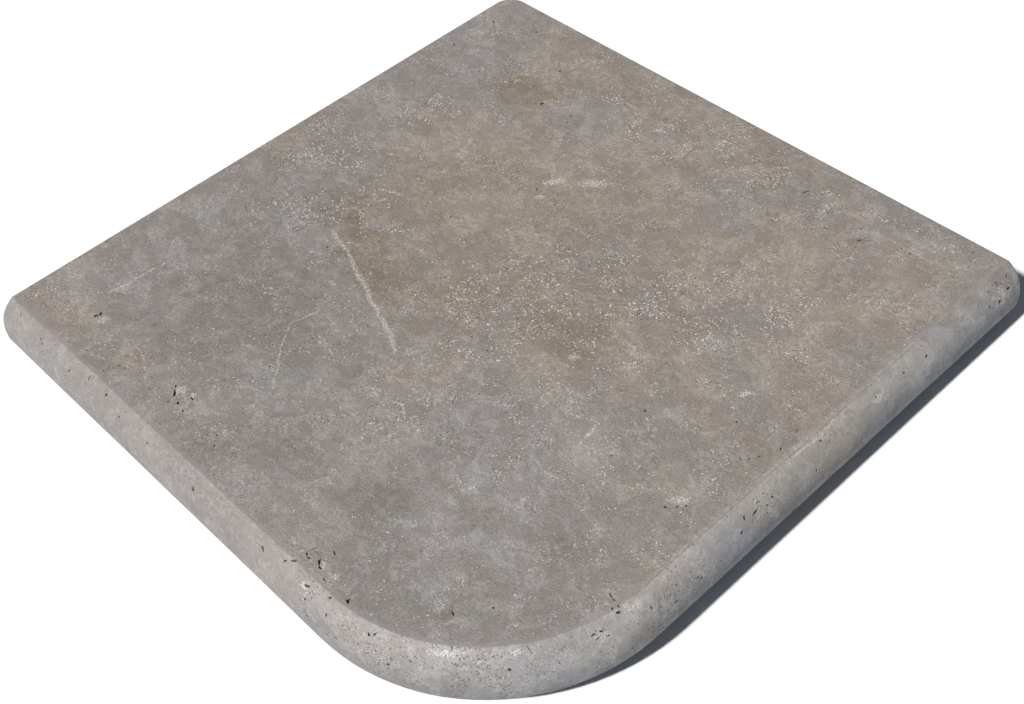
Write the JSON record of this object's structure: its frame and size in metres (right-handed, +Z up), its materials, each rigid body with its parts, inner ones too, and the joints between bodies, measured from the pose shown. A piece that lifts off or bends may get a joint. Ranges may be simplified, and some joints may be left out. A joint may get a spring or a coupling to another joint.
{
  "type": "pool coping corner stone",
  "caption": "Square travertine outside corner coping for a pool edge, with a convex nosing on adjoining sides that runs round a large corner.",
  "frame": {"origin": "middle of the underside", "axes": "+Z up through the thickness, +X towards one nosed side and -Y towards the other, so the large round corner is at +X, -Y"},
  "size_m": [0.305, 0.305, 0.03],
  "materials": {
    "travertine": "brushed top and honed nosing, with open pores"
  },
  "bodies": {
    "root": {"coping_stone": "travertine"}
  },
  "joints": []
}
